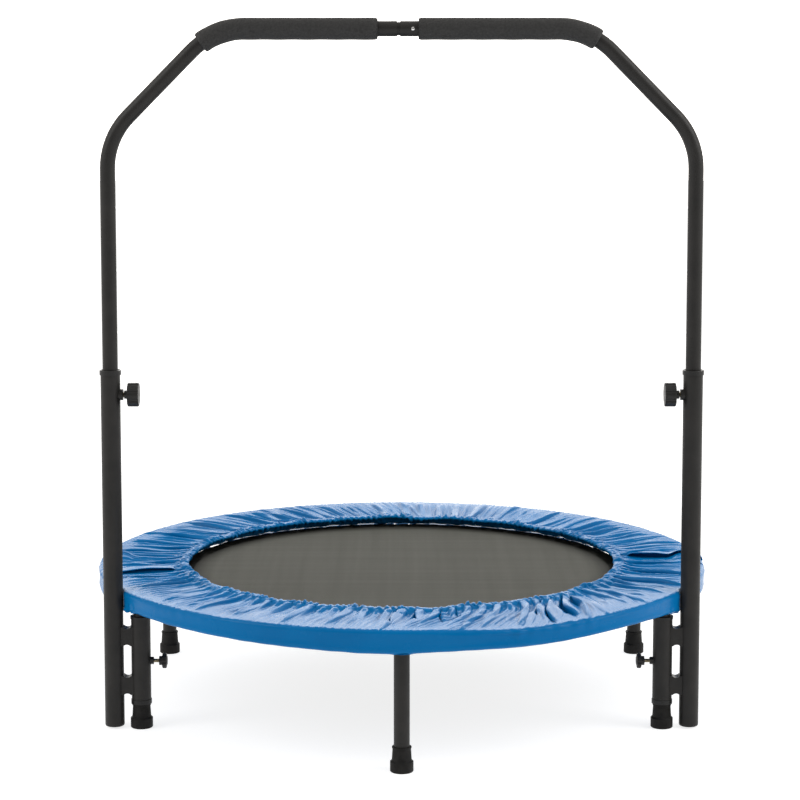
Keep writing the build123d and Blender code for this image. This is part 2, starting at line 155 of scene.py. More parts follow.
class Shader:
    """A principled material whose colour, roughness and bump come from procedural textures."""

    MIDDLE = (0.3, 0.7)      # the range in which nearly all of a noise texture's values lie

    def __init__(self, name, **sockets):
        self.material = bpy.data.materials.new(name)
        self.material.use_nodes = True
        self.tree = self.material.node_tree
        self.bsdf = self.tree.nodes["Principled BSDF"]
        for socket, value in sockets.items():
            self.bsdf.inputs[socket.replace("_", " ")].default_value = value
        self.coordinates = self.tree.nodes.new("ShaderNodeTexCoord").outputs["Object"]
        self.bumped = None

    def node(self, kind, inputs=None, **settings):
        made = self.tree.nodes.new("ShaderNode" + kind)
        for key, value in settings.items():
            setattr(made, key, value)
        for key, value in (inputs or {}).items():
            if isinstance(value, bpy.types.NodeSocket):
                self.tree.links.new(value, made.inputs[key])
            else:
                made.inputs[key].default_value = value
        return made

    def noise(self, scale, detail=3.0, roughness=0.5, stretch=(1, 1, 1)):
        place = self.node("Mapping", {"Vector": self.coordinates, "Scale": stretch})
        inputs = {"Vector": place.outputs[0], "Scale": scale, "Detail": detail, "Roughness": roughness}
        return self.node("TexNoise", inputs).outputs["Fac"]

    def cells(self, scale):
        return self.node("TexVoronoi", {"Vector": self.coordinates, "Scale": scale}).outputs["Distance"]

    def wave(self, scale, direction):
        return self.node("TexWave", {"Vector": self.coordinates, "Scale": scale, "Distortion": 0.0},
                         bands_direction=direction).outputs["Fac"]

    def math(self, operation, first, second):
        made = self.node("Math", operation=operation)
        for index, value in enumerate((first, second)):
            if isinstance(value, bpy.types.NodeSocket):
                self.tree.links.new(value, made.inputs[index])
            else:
                made.inputs[index].default_value = value
        return made.outputs[0]

    def ramp(self, value, stops):
        made = self.node("ValToRGB", {"Fac": value})
        points = made.color_ramp.elements
        while len(points) < len(stops):
            points.new(0.5)
        for point, (position, colour) in zip(points, stops):
            point.position = position
            point.color = (*colour, 1)
        return made.outputs["Color"]

    def colour(self, value, dark, light):
        stops = (self.MIDDLE[0], dark), (self.MIDDLE[1], light)
        self.tree.links.new(self.ramp(value, stops), self.bsdf.inputs["Base Color"])

    def roughness(self, value, least, most):
        made = self.node("MapRange", {"Value": value, "From Min": self.MIDDLE[0], "From Max": self.MIDDLE[1],
                                      "To Min": least, "To Max": most})
        self.tree.links.new(made.outputs[0], self.bsdf.inputs["Roughness"])

    def bump(self, value, strength, distance):
        inputs = {"Height": value, "Strength": strength, "Distance": distance}
        if self.bumped:
            inputs["Normal"] = self.bumped
        self.bumped = self.node("Bump", inputs).outputs[0]
        self.tree.links.new(self.bumped, self.bsdf.inputs["Normal"])


def grey(level, warm=0.0):
    """A grey, or one with a little more red than blue."""
    return (level * (1 + warm), level, level * (1 - warm))


def powder_coat():
    """Matt black, with the fine orange peel of sprayed and baked powder."""
    shader = Shader("powder_coat", Specular_IOR_Level=0.2)
    shader.colour(shader.noise(26, 4), grey(0.014, 0.03), grey(0.02, 0.05))
    shader.roughness(shader.noise(90, 2), 0.36, 0.48)
    shader.bump(shader.noise(900, 2), 0.25, 0.0003)
    return shader.material


def moulded_plastic():
    """Black with a spark-eroded grain."""
    shader = Shader("moulded_plastic", Specular_IOR_Level=0.3)
    shader.colour(shader.noise(60, 3), grey(0.007), grey(0.012))
    shader.roughness(shader.noise(140, 3), 0.34, 0.5)
    shader.bump(shader.cells(1400), 0.2, 0.0002)
    return shader.material


def foot_rubber():
    """Dull black, a little dusty."""
    shader = Shader("foot_rubber", Specular_IOR_Level=0.12)
    shader.colour(shader.noise(80, 5), grey(0.008, 0.03), grey(0.015, 0.05))
    shader.roughness(shader.noise(60, 3), 0.5, 0.7)
    shader.bump(shader.noise(700, 4), 0.35, 0.0004)
    return shader.material


def grip_foam():
    """Soft foam with a finely pored skin."""
    shader = Shader("grip_foam")
    shader.colour(shader.noise(500, 4), grey(0.007), grey(0.017))
    shader.roughness(shader.noise(300, 2), 0.62, 0.82)
    shader.bump(shader.cells(1100), 0.5, 0.0004)
    shader.bump(shader.noise(2600, 2), 0.3, 0.0003)
    return shader.material


def zinc_plate():
    """Bright zinc on wire and bolts, cloudy where it has dulled."""
    shader = Shader("zinc_plate", Metallic=1.0)
    tint = (0.62, 0.62, 0.6)
    dull = tuple(0.72 * value for value in tint)
    shader.colour(shader.noise(240, 4), dull, tint)
    shader.roughness(shader.noise(180, 3), 0.22, 0.4)
    shader.bump(shader.noise(1500, 2), 0.1, 0.0002)
    return shader.material


def screw_steel():
    """Yellow-passivated zinc with a turned thread."""
    shader = Shader("screw_steel", Metallic=1.0)
    shader.colour(shader.noise(300, 3), (0.42, 0.34, 0.2), (0.68, 0.6, 0.42))
    shader.roughness(shader.noise(200, 2), 0.25, 0.4)
    pitch = 1.0 * MM
    shader.bump(shader.wave(bands(pitch), "X"), 0.8, 0.0006)
    return shader.material


def chrome():
    """The polished snap button and its leaf clip."""
    shader = Shader("chrome", Metallic=1.0)
    shader.colour(shader.noise(200, 2), grey(0.72), grey(0.85))
    shader.roughness(shader.noise(120, 2), 0.06, 0.14)
    return shader.material


def vinyl():
    """Glossy blue sheet with a fine calendered grain."""
    shader = Shader("vinyl", Specular_IOR_Level=0.075)
    shader.colour(shader.noise(7, 4), (0.0002, 0.112, 0.31), (0.0004, 0.135, 0.36))
    shader.roughness(shader.noise(45, 3), 0.19, 0.29)
    shader.bump(shader.noise(120, 3, 0.5), 0.05, 0.002)
    shader.bump(shader.cells(1300), 0.05, 0.0002)
    return shader.material


def woven_mat():
    """Flat polypropylene tapes crossing at right angles, with denser picks here and there, and painted shade
    towards the hem.
    """
    shader = Shader("woven_mat", Specular_IOR_Level=0.04)
    tape = bands(1.9 * MM)
    across, along = shader.wave(tape, "X"), shader.wave(tape, "Y")
    weave = shader.math("MULTIPLY", across, along)
    drawn = [shader.noise(60, 3, 0.5, stretch) for stretch in ((1, 0.03, 1), (0.03, 1, 1))]
    streaks = shader.math("ADD", *drawn)
    mixed = shader.math("ADD", shader.math("MULTIPLY", weave, 0.25), shader.math("MULTIPLY", streaks, 0.5))
    tapes = shader.ramp(mixed, ((0.35, (0.056, 0.057, 0.050)), (0.85, (0.077, 0.078, 0.069))))
    # painted shade: the colour darkens towards the mat's hem, standing in for the shadow that the cover's
    # edge casts on it
    flat = shader.node("Mapping", {"Vector": shader.coordinates, "Scale": (1, 1, 0)})
    from_middle = shader.node("VectorMath", {0: flat.outputs[0]}, operation="LENGTH").outputs["Value"]
    shade = shader.node("MapRange", {"Value": from_middle,
                                     "From Min": MAT_R - 66 * MM, "From Max": MAT_R - 10 * MM,
                                     "To Min": 1.0, "To Max": 0.25},
                        interpolation_type="SMOOTHSTEP").outputs[0]
    painted_shade_colour = shader.node("VectorMath", {0: tapes, "Scale": shade}, operation="SCALE").outputs["Vector"]
    shader.tree.links.new(painted_shade_colour, shader.bsdf.inputs["Base Color"])
    shader.roughness(streaks, 0.62, 0.74)
    shader.bump(weave, 0.5, 0.0004)
    return shader.material


coat = powder_coat()
plastic = moulded_plastic()
rubber = foot_rubber()
foam = grip_foam()
zinc = zinc_plate()
screw = screw_steel()
bright = chrome()
blue = vinyl()
weave = woven_mat()


# ---------------------------------------------------------------- CAD nodes that stay
# part of a node's name and its material; the first that fits counts, and what fits none is powder coated
FINISHES = (("mat_rings", zinc), ("hinge_bolts", zinc), ("hinge_nuts", zinc), ("knob_stud", screw),
            ("knob_head", plastic), ("post_collar", plastic), ("post_caps", plastic),
            ("sleeve_collars", plastic), ("rail_bushes", plastic), ("foot_", rubber),
            ("snap_button", bright), ("button_clip", bright), ("mat_", weave),
            ("cover_", blue), ("grip_", foam))


def finish_nodes():
    """Gives every CAD node its one material."""
    for name, node in nodes.items():
        material = next((material for key, material in FINISHES if key in name), coat)
        node.data.materials.clear()
        node.data.materials.append(material)
        node.data.polygons.foreach_set("material_index", [0] * len(node.data.polygons))


finish_nodes()


# ---------------------------------------------------------------- camera, light and floor
CAMERA_BACK, CAMERA_UP = 4.217, 1.1366   # metres from the ring's axis and above the floor
CAMERA_PITCH = 0.1155                    # radians down
CAMERA_LENS, SENSOR = 110.97, 36         # mm
CAMERA_SHIFT = (-0.0022, -0.1)
camera = bpy.data.objects.new("camera", bpy.data.cameras.new("camera"))
camera.data.lens = CAMERA_LENS
camera.data.sensor_width = SENSOR
camera.data.shift_x, camera.data.shift_y = CAMERA_SHIFT
camera.data.clip_end = 60
camera.location = (0, -CAMERA_BACK, CAMERA_UP)
camera.rotation_euler = (math.pi / 2 - CAMERA_PITCH, 0, 0)
bpy.context.scene.collection.objects.link(camera)
bpy.context.scene.camera = camera
bpy.context.scene.view_settings.view_transform = "Standard"


def area_light(name, place, target, size, power):
    """A soft light box at a place, turned to a target; size in metres, power in watts."""
    light = bpy.data.lights.new(name, "AREA")
    light.shape = "RECTANGLE"
    light.size, light.size_y = size
    light.energy = power
    lamp = bpy.data.objects.new(name, light)
    lamp.location = place
    lamp.rotation_euler = (Vector(target) - Vector(place)).to_track_quat("-Z", "Y").to_euler()
    bpy.context.scene.collection.objects.link(lamp)


area_light("left", (-2.6, -1.2, 2.4), (0, 0, 0.3), (1.4, 2.0), 30)
area_light("right", (2.7, -0.9, 2.2), (0, 0, 0.3), (1.4, 2.0), 44)
area_light("back", (0.2, 3.4, 2.4), (0, 0, 0.2), (3.2, 1.2), 50)


def studio_world():
    """White behind, above and at both sides, dimmer on the side the camera stands."""
    world = bpy.data.worlds.new("studio")
    world.use_nodes = True
    tree = world.node_tree

    def join(operation, first, second):
        made = tree.nodes.new("ShaderNodeMath")
        made.operation = operation
        for socket, value in zip(made.inputs, (first, second)):
            if isinstance(value, bpy.types.NodeSocket):
                tree.links.new(value, socket)
            else:
                socket.default_value = value
        return made.outputs[0]

    parts = tree.nodes.new("ShaderNodeSeparateXYZ")
    tree.links.new(tree.nodes.new("ShaderNodeTexCoord").outputs["Generated"], parts.inputs[0])
    sideways = join("MULTIPLY", join("ABSOLUTE", parts.outputs["X"], 0), 0.55)
    upwards = join("MULTIPLY", parts.outputs["Z"], 0.5)
    lit = join("ADD", join("ADD", parts.outputs["Y"], sideways), upwards)

    def ramp(value, start, end, low, high):
        fade = tree.nodes.new("ShaderNodeMapRange")
        fade.interpolation_type = "SMOOTHSTEP"
        for key, number in (("From Min", start), ("From Max", end), ("To Min", low), ("To Max", high)):
            fade.inputs[key].default_value = number
        tree.links.new(value, fade.inputs["Value"])
        return fade.outputs[0]

    around = ramp(lit, -0.85, 0.5, 0.12, 1.1)
    backdrop = ramp(parts.outputs["Y"], 0.72, 0.98, 0.0, 1.35)
    tree.links.new(join("ADD", around, backdrop), tree.nodes["Background"].inputs["Strength"])
    tree.nodes["Background"].inputs["Color"].default_value = (1, 0.97, 0.93, 1)
    bpy.context.scene.world = world


studio_world()


def studio_floor():
    """A pale floor, lit from within a little so that it stays as white as the backdrop."""
    shader = Shader("studio_floor", Roughness=0.7, Specular_IOR_Level=0.0)
    shader.colour(shader.noise(1.2, 2), grey(0.4), grey(0.42))
    shader.bsdf.inputs["Emission Color"].default_value = (1, 1, 1, 1)
    shader.bsdf.inputs["Emission Strength"].default_value = 0.78
    half = 15.0
    corners = [(-half, -half, 0), (half, -half, 0), (half, half, 0), (-half, half, 0)]
    floor = mesh_object("floor", corners, [(0, 1, 2, 3)], shader.material, False)


studio_floor()


# ---------------------------------------------------------------- noise
class Ripple:
    """Smooth periodic noise around the ring: a seeded sum of cosines that drifts along s."""

    def __init__(self, seed, low, high, terms=14):
        rng = np.random.default_rng(seed)
        self.order = rng.integers(low, high + 1, terms)
        self.phase = rng.uniform(0, TAU, terms)
        self.drift = rng.normal(0, 1.0, terms)
        self.weight = rng.uniform(0.5, 1.0, terms)
        self.weight /= np.sqrt((self.weight**2).sum() / 2)

    def __call__(self, angle, s=0.0):
        total = 0
        for order, phase, drift, weight in zip(self.order, self.phase, self.drift, self.weight):
            total = total + weight * np.cos(order * angle + phase + drift * s)
        return total


def wrapped(angle):
    """An angle brought between minus half a turn and half a turn."""
    return np.mod(angle + math.pi, TAU) - math.pi


def near(angle, degrees, spread):
    """1 at an azimuth, falling to nothing over a spread in degrees."""
    return np.exp(-((wrapped(angle - math.radians(degrees)) / math.radians(spread)) ** 2))


# ---------------------------------------------------------------- cloth solver
class GatheredSheet:
    """Cloth on a ring-shaped grid: a full sheet drawn in at its pinned inner edge.

    Each step keeps neighbours at their cut length, so the fullness has to go into folds.
    """

    STEPS = 420
    KEEP_SPEED = 0.93
    GRAVITY = 0.006 * MM
    STRETCH, SHEAR = 0.9, 0.35
    BEND = ((2, 0.08), (4, 0.05), (8, 0.02))     # columns spanned, stiffness
    SLACK_OUT = 1.004                            # looseness from the casing to the outer edge
    SEAM_PLAY, EDGE_PLAY = 2.4 * MM, 1.3 * MM    # how far the two sewn edges may ripple up and down

    def __init__(self, start, fullness, floor, level):
        self.level = level
        self.x = start.copy()
        self.inner, self.outer = start[0].copy(), start[-1].copy()
        self.floor = floor
        flat = start.copy()
        flat[..., 2] = flat[..., 2].mean(1, keepdims=True)
        ahead = np.roll(flat, -1, 1)
        self.round = np.linalg.norm(ahead - flat, axis=2) * fullness
        out, step = (flat[1:] - flat[:-1]) * self.SLACK_OUT, ((ahead - flat) * fullness[..., None])[1:]
        self.out = np.linalg.norm(out, axis=2)
        self.diagonals = {-1: np.linalg.norm(out + step, axis=2),
                          1: np.linalg.norm(out - np.roll(step, 1, 1), axis=2)}
        self.spans = []
        for span, stiffness in self.BEND:
            rest = sum(np.roll(self.round, -step, 1) for step in range(span))
            self.spans.append((span, stiffness, rest))

    def pull(self, first, second, rest, stiffness, push_only=False):
        """Moves two blocks of points towards their rest distance, in place."""
        gap = second - first
        length = np.sqrt((gap * gap).sum(-1))
        share = (1 - rest / np.maximum(length, 1e-9)) * stiffness / 2
        if push_only:
            share = np.minimum(share, 0)
        gap *= share[..., None]
        first += gap
        second -= gap

    def around(self):
        """Lengths between neighbours round the ring, then the bending over wider spans."""
        for offset in (0, 1):
            x, rest = np.roll(self.x, -offset, 1), np.roll(self.round, -offset, 1)
            self.pull(x[:, 0::2], x[:, 1::2], rest[:, 0::2], self.STRETCH)
            self.x = np.roll(x, offset, 1)
        for span, stiffness, wide in self.spans:
            for offset in (0, span):
                x, rest = np.roll(self.x, -offset, 1), np.roll(wide, -offset, 1)
                for lane in range(span):
                    self.pull(x[:, lane::2 * span], x[:, lane + span::2 * span],
                              rest[:, lane::2 * span], stiffness, True)
                self.x = np.roll(x, offset, 1)

    def outwards(self):
        """Lengths between rows, straight out and along both diagonals."""
        for begin in (0, 1):
            low, high = self.x[begin:-1:2], self.x[begin + 1::2]
            self.pull(low, high, self.out[begin::2], self.STRETCH)
            for shift in (-1, 1):
                turned = np.roll(high, shift, 1)
                self.pull(low, turned, self.diagonals[shift][begin::2], self.SHEAR)
                high[...] = np.roll(turned, -shift, 1)

    def settle(self):
        """Steps the sheet until its folds have formed, and returns its points."""
        before = self.x.copy()
        for _ in range(self.STEPS):
            speed = (self.x - before) * self.KEEP_SPEED
            before = self.x.copy()
            self.x = self.x + speed
            self.x[..., 2] -= self.GRAVITY
            self.around()
            self.outwards()
            self.x[..., 2] = np.maximum(self.x[..., 2], self.floor)
            self.hold(0, self.inner, self.SEAM_PLAY)
            self.hold(-1, self.outer, self.EDGE_PLAY)
        return self.x

    def hold(self, row, sewn, play):
        """Keeps an edge at its radius, free to slide round it and to ripple a little."""
        edge = self.x[row]
        edge[:, :2] *= (np.hypot(sewn[:, 0], sewn[:, 1]) / np.hypot(edge[:, 0], edge[:, 1]))[:, None]
        level = self.level[row]
        edge[:, 2] = level + play * np.tanh((edge[:, 2] - level) / play)


# ---------------------------------------------------------------- padded cover
COLUMNS = 2400
FOLD_DENSITY = 0.3       # columns crowd towards the two slits near the fold line
CASING = 14 * MM         # elastic casing at the inner edge
CASING_HIGH = 5.5 * MM
CASING_Z = COVER_TOP - 1.8 * MM
SKIRT_TUCK = 60 * MM
EDGE_ROUND = 5 * MM
VINYL_THICK = 0.9 * MM
PANEL_IN = COVER_IN + CASING


class Cover:
    """The blue cover as one skin: underside, casing, gathered top panel, edge, skirt and tucked hem.

    A point has a row of the section and a column round the ring. On the panel, s runs from 0 at the
    casing to 1 at the outer edge; on the skirt and the tuck it is the share of the way along them.
    """

    LINER, CASE, PANEL, EDGE, SIDE, TUCK = range(6)
    PANEL_ROWS, CASING_ROWS, EDGE_ROWS, SKIRT_ROWS = 34, 13, 5, 10

    # underside, from over the springs in to the casing: radius and height above the mat, in mm
    UNDERSIDE = ((436, 6.0), (424, 4.6), (412, 2.4), (402, 1.0), (395, 1.3), (387, 4.0), (379, 8.5))

    # the tuck is cut away at the legs: azimuth and half width in degrees
    LEGS = ((30, 2.2), (90, 2.2), (150, 2.2), (210, 3.6), (270, 2.2), (330, 3.6))
    POST_LEGS = (-28, 208)   # azimuths at which the legs inside the post sleeves crumple the hem

    # lean of the wrinkles: azimuth in degrees, radians from the casing to the outer edge
    LEAN = ((-180, 0.08), (-165, 0.07), (-145, 0.09), (-125, 0.04), (-105, 0.0), (-92, -0.05),
            (-78, -0.18), (-65, -0.27), (-52, -0.25), (-40, -0.18), (-20, -0.09), (0, -0.08),
            (15, -0.02), (40, 0.0), (70, 0.02), (85, 0.08), (110, 0.1), (150, 0.09), (180, 0.08))

    # gathers: how many fit round the ring, height in mm, where they begin and end, seed
    CASCADE = ((180, 2.0, -0.3, 0.26, 11), (96, 2.6, -0.3, 0.55, 12), (56, 2.6, -0.1, 0.9, 13),
               (30, 1.6, 0.1, 1.2, 14))
    CREASE_COUNT = 120
    LIFT_LEAST, LIFT_MOST = -7 * MM, 6 * MM      # limits of the folds before the sheet settles
    CROWN = 1.5 * MM         # rise of the panel's middle before it settles
    KEPT_FOLD = 0.75         # share of the settled folds' height that is kept
    STREAK_HIGH = 4.5 * MM
    LOOSE, LOOSE_REAR = 0.034, 0.02    # extra length of the whole panel, and more away from the front
    GATHERED = 0.21          # extra length at the casing
    BED_DEEP, BED_RISE = 9, 7.5        # mm below the cover's top at the casing, and the rise on the way out

    # pinched folds: azimuth in degrees, depth in mm, begin, end, lean and half width in radians
    PINCHES = ((-53.8, 9, -0.05, 0.6, -0.36, 0.008), (-50.8, 13, -0.05, 0.95, -0.38, 0.011),
               (-47.5, 15, -0.05, 0.85, -0.31, 0.019), (-44.8, 10, 0.0, 0.55, -0.27, 0.012),
               (-91, 7, -0.1, 0.7, -0.05, 0.009), (-86.5, 5, -0.1, 0.4, -0.03, 0.007),
               (-80.5, 7, -0.1, 0.65, -0.06, 0.009), (-77.0, 5, -0.1, 0.45, -0.04, 0.007))

    # casing: what share of the panel's seam height it follows, and its own fine puckers
    SEAM_UNIT, SEAM_SHARE, FINE_SHARE = 3.5 * MM, 0.36, 0.3

    # edge, skirt and tuck
    RIM_PUCKER, RIM_DEEP = 0.5 * MM, 9 * MM
    SKIRT_WAVE, TUCK_WAVE, LINER_WAVE = 0.4 * MM, 1.5 * MM, 0.35 * MM
    LEG_ROOM = 5 * MM        # how far inside the skirt the tuck ends at a leg
    HEM_WAVE, HEM_CRUMPLE = 0.9 * MM, 0.9 * MM
    HEM_MOVE = 4 * MM        # how far the hem is drawn up or let down
    DROOP = 6 * MM           # at the front right

    # slits: side, y where x is SLIT_FROM from the middle, slope, height of the raised lip
    SLITS = ((-1, -76 * MM, -0.5, 7.0 * MM), (1, 32 * MM, -0.27, 8.5 * MM))
    SLIT_FROM = 380 * MM
    SLIT_REACH = 46 * MM     # how far from the slit the skin is moved
    # across a slit: distance as cut, distance after the lip is folded over, share of the lip's height
    SLIT_CUT = np.array([-34, -16, -3.5, 0, 3.5, 14, 46]) * MM
    SLIT_MOVED = np.array([-34, -13, 11, 13, -5, 10, 46]) * MM
    SLIT_LIP = (0.0, -0.25, -0.2, 0.5, 0.95, 1.0, 0.0)
    LIP_MIDDLE, LIP_HALF = 432 * MM, 36 * MM     # where along its slit the lip stands highest

    # the skin is raised over the fold hinges, and kept off the posts
    HINGE_HIGH, HINGE_WIDE, HINGE_LONG = 9.5 * MM, 24 * MM, 27 * MM
    POST_GAP, POST_SOFT, POST_REACH = 2.5 * MM, 1.5 * MM, 60 * MM

    def __init__(self):
        self.rows = self.section()
        radius, height, s, part = (np.array(values) for values in zip(*self.rows))
        self.part = part
        self.profile = radius[part == self.PANEL], height[part == self.PANEL]
        self.column = self.columns()
        lean = self.slant(self.column)[None, :]
        self.s = s[:, None]
        self.radius = radius[:, None] + 0 * self.column
        self.height = height[:, None] + 0 * self.column
        self.angle = self.column[None, :] + lean * self.s * self.on(self.PANEL)
        self.angle = self.angle + lean * (part > self.PANEL)[:, None]
        self.case, self.panel = part == self.CASE, part == self.PANEL
        self.top = (self.case | self.panel)[:, None]

    def on(self, part):
        """Marks the rows of one part."""
        return (self.part == part)[:, None]

    def section(self):
        """Rows of the skin: radius, height, s or share of the way down, and the part it belongs to."""
        rows = [(radius * MM, MAT_TOP + above * MM, 0.0, self.LINER) for radius, above in self.UNDERSIDE]
        for turn in np.linspace(1.4, 0.12, self.CASING_ROWS) * math.pi:
            # turn 0 points outwards, half pi up, pi inwards, over the casing's flattened loop
            radius = COVER_IN + CASING / 2 + CASING / 2 * math.cos(turn)
            rows.append((radius, CASING_Z + CASING_HIGH / 2 * math.sin(turn), 0.0, self.CASE))
        top_out, shoulder = COVER_R - EDGE_ROUND, COVER_TOP - 1.5 * MM
        start, peak = CASING_Z + 1.0 * MM, COVER_TOP + 0.5 * MM
        for s in np.linspace(0.0, 1.0, self.PANEL_ROWS) ** 1.2:
            radius = PANEL_IN + 1.5 * MM + (top_out - PANEL_IN - 1.5 * MM) * s
            climb = math.sin(math.pi / 2 * min(1, s / 0.8))
            height = start + (peak - start) * climb - 1.4 * MM * max(0.0, (s - 0.85) / 0.15) ** 2
            rows.append((radius, height, s, self.PANEL))
        for turn in np.linspace(0.25, 0.97, self.EDGE_ROWS) * math.pi / 2:
            drop = EDGE_ROUND * (1 - math.cos(turn))
            rows.append((top_out + EDGE_ROUND * math.sin(turn), shoulder - drop, 1.0, self.EDGE))
        bottom = COVER_LOW + 2 * MM
        for t in np.linspace(0.06, 0.94, self.SKIRT_ROWS):
            height = shoulder - EDGE_ROUND + (bottom - shoulder + EDGE_ROUND) * t
            rows.append((COVER_R - 1.2 * MM * math.sin(math.pi * t), height, t, self.SIDE))
        for t in np.linspace(0.06, 1.0, self.SKIRT_ROWS):
            height = bottom - 5.5 * MM * math.sin(math.pi / 2 * min(1, 2.5 * t))
            rows.append((COVER_R - SKIRT_TUCK * t**1.5, height, t, self.TUCK))
        return rows

    def columns(self):
        """Azimuth of each column at the casing."""
        even = np.arange(COLUMNS) * TAU / COLUMNS
        return even - FOLD_DENSITY / 2 * np.sin(2 * even)

    def slant(self, angle):
        """How far round the wrinkles lean on their way out, in radians."""
        degrees = np.degrees(wrapped(angle))
        return np.interp(degrees, *np.array(self.LEAN).T)

    def points(self):
        """Points of the whole skin, row by row."""
        self.loosen_inner_edge()
        self.gather_panel()
        self.follow_with_casing()
        liner = self.part == self.LINER
        self.height[liner] += self.LINER_WAVE * Ripple(58, 30, 90)(self.angle[liner])
        self.draw_in_rim()
        self.cut_round_legs()
        self.hang_skirt()
        self.droop_at_right()
        x, y = self.radius * np.cos(self.angle), self.radius * np.sin(self.angle)
        x, y, z = self.slit(x, y, self.height)
        x, y = self.clear_posts(x, y)
        return np.stack([x, y, z], -1).reshape(-1, 3)

    # -------------------------------------------------------- gathered top panel
    def loosen_inner_edge(self):
        """The elastic edge wanders a little in and out, and up and down."""
        inner = 1 - smoothstep(0.0, 0.35, self.s)
        self.radius += np.where(self.top, 0.9 * MM * Ripple(54, 6, 34)(self.angle) * inner, 0)
        self.height += np.where(self.top, 0.7 * MM * Ripple(55, 6, 28)(self.angle) * inner, 0)

    def gather_panel(self):
        """Starts the folds, lets the sheet settle, then adds the thin creases and the pinched folds."""
        s, angle = self.s[self.panel], self.angle[self.panel]
        self.level = self.height[self.panel].copy()
        cut = self.column[None, :] + 0 * s
        lift = self.pleats(cut, s) + self.creases(cut, s)
        lift *= 1 - smoothstep(0.93, 1.0, s)
        broad = 0.6 * MM * Ripple(31, 8, 30)(angle, 2 * s) * np.sin(math.pi * s)
        height = self.height[self.panel]
        lift = np.clip(lift + broad, self.LIFT_LEAST, self.LIFT_MOST)
        height += lift + self.CROWN * np.sin(math.pi * s) ** 0.5
        radius = self.radius[self.panel]
        start = np.stack([radius * np.cos(angle), radius * np.sin(angle), height], -1)
        settled = GatheredSheet(start, self.fullness(s), self.bed(s), self.level).settle()
        self.radius[self.panel] = np.hypot(settled[..., 0], settled[..., 1])
        angle += wrapped(np.arctan2(settled[..., 1], settled[..., 0]) - angle)
        height = self.level + self.KEPT_FOLD * (settled[..., 2] - self.level) + self.streaks(s)
        self.angle[self.panel], self.height[self.panel] = self.pinch(angle, height, s)

    def pleats(self, angle, s):
        """Height of the gathers: a cascade from fine and short at the casing to broad and long."""
        height = 0
        for count, size, begin, end, seed in self.CASCADE:
            warp = Ripple(seed, 3, 22)(angle, 0.6 * s) * 0.9 + Ripple(seed + 40, 20, 60)(angle, s) * 0.5
            phase = count * angle / 2 + warp
            loud = np.clip(0.75 + 0.35 * Ripple(seed + 20, 5, 30)(angle, s), 0.1, 1.6)
            window = smoothstep(begin, begin + 0.15, s) * (1 - smoothstep(begin + 0.12, end, s))
            fold = np.abs(np.sin(phase)) ** 0.75 - 0.7
            height = height + size * loud * window * fold
        return height * MM

    def creases(self, angle, s):
        """Separate long creases that start at the casing, a valley with a low ridge on each side."""
        rng = np.random.default_rng(5)
        height = np.zeros_like(angle * s)
        for _ in range(self.CREASE_COUNT):
            at = rng.uniform(0, TAU)
            length = rng.uniform(0.3, 0.95)
            width = rng.uniform(0.006, 0.014)
            depth = rng.uniform(0.8, 2.6) * MM
            bend = rng.normal(0, 0.03)
            away = wrapped(angle - (at + bend * s)) / (width * (0.5 + s))
            fade = 1 - smoothstep(0.35 * length, length, s)
            height -= depth * fade * np.exp(-np.abs(away) ** 1.3)
            height += 0.6 * depth * fade * np.exp(-((np.abs(away) - 1.8) / 1.1) ** 2)
        return height

    def fullness(self, s):
        """How much longer the sheet is cut than the space it lies in, at each point."""
        tight = 1 + 0.25 * Ripple(81, 2, 12)(self.column) + 0.7 * near(self.column, -54, 8)
        loose = self.LOOSE + self.LOOSE_REAR * np.clip(np.sin(self.column) + 0.9, 0, 1)
        return 1 + loose + (self.GATHERED * np.clip(tight, 0.5, 2.0))[None, :] * (1 - s)

    def bed(self, s):
        """The springs and the ring that the sheet lies on."""
        return COVER_TOP - (self.BED_DEEP - self.BED_RISE * smoothstep(0.2, 0.82, s)) * MM + 0 * self.column

    def streaks(self, s):
        """Thin sharp creases that run out between the folds."""
        crease = Ripple(91, 50, 140, 26)(self.column[None, :], 1.2 * s)
        reach = smoothstep(0.0, 0.12, s) * (1 - 0.85 * smoothstep(0.55, 1.0, s))
        return self.STREAK_HIGH * (0.5 - np.abs(np.tanh(0.9 * crease))) * reach

    def pinch(self, angle, height, s):
        """The few dark folds where the sheet doubles over: a leaf-shaped valley under a leaning ridge."""
        for degrees, depth, begin, end, lean, width in self.PINCHES:
            line = math.radians(degrees) + lean * s * (1 - 0.5 * s)
            leaf = np.sin(math.pi * np.clip((s - begin) / (end - begin), 0, 1)) ** 0.7
            wide = width * (0.35 + 0.65 * leaf)
            away = wrapped(angle - line) / wide
            ridge = leaf * np.exp(-(((away - 1.5) / 0.8) ** 2))
            height = height - depth * MM * leaf * np.exp(-np.abs(away) ** 2.4) + 0.5 * depth * MM * ridge
            angle = angle - 2.0 * wide * ridge
        return angle, height

    # -------------------------------------------------------- casing, edge and skirt
    def follow_with_casing(self):
        """The casing carries the panel's gathers on round the elastic, with fine puckers of its own."""
        case = self.case
        first = np.flatnonzero(self.panel)[0]
        pucker = (self.height[first] - self.level[0]) / self.SEAM_UNIT
        turn = np.linspace(0, 1, case.sum())[:, None]
        busy = np.clip(1 + 0.4 * Ripple(56, 20, 60)(self.column), 0.3, 2)
        fine = Ripple(52, 120, 230)(self.column, 5 * turn) + 0.6 * Ripple(57, 200, 330)(self.column, 9 * turn)
        swell = 1 + self.SEAM_SHARE * pucker + self.FINE_SHARE * busy * fine
        middle = COVER_IN + CASING / 2
        self.radius[case] = middle + (self.radius[case] - middle) * (0.72 + 0.28 * swell)
        self.height[case] = CASING_Z + (self.height[case] - CASING_Z) * swell
        self.angle[case] = self.column + (self.angle[first] - self.column) * 0.9

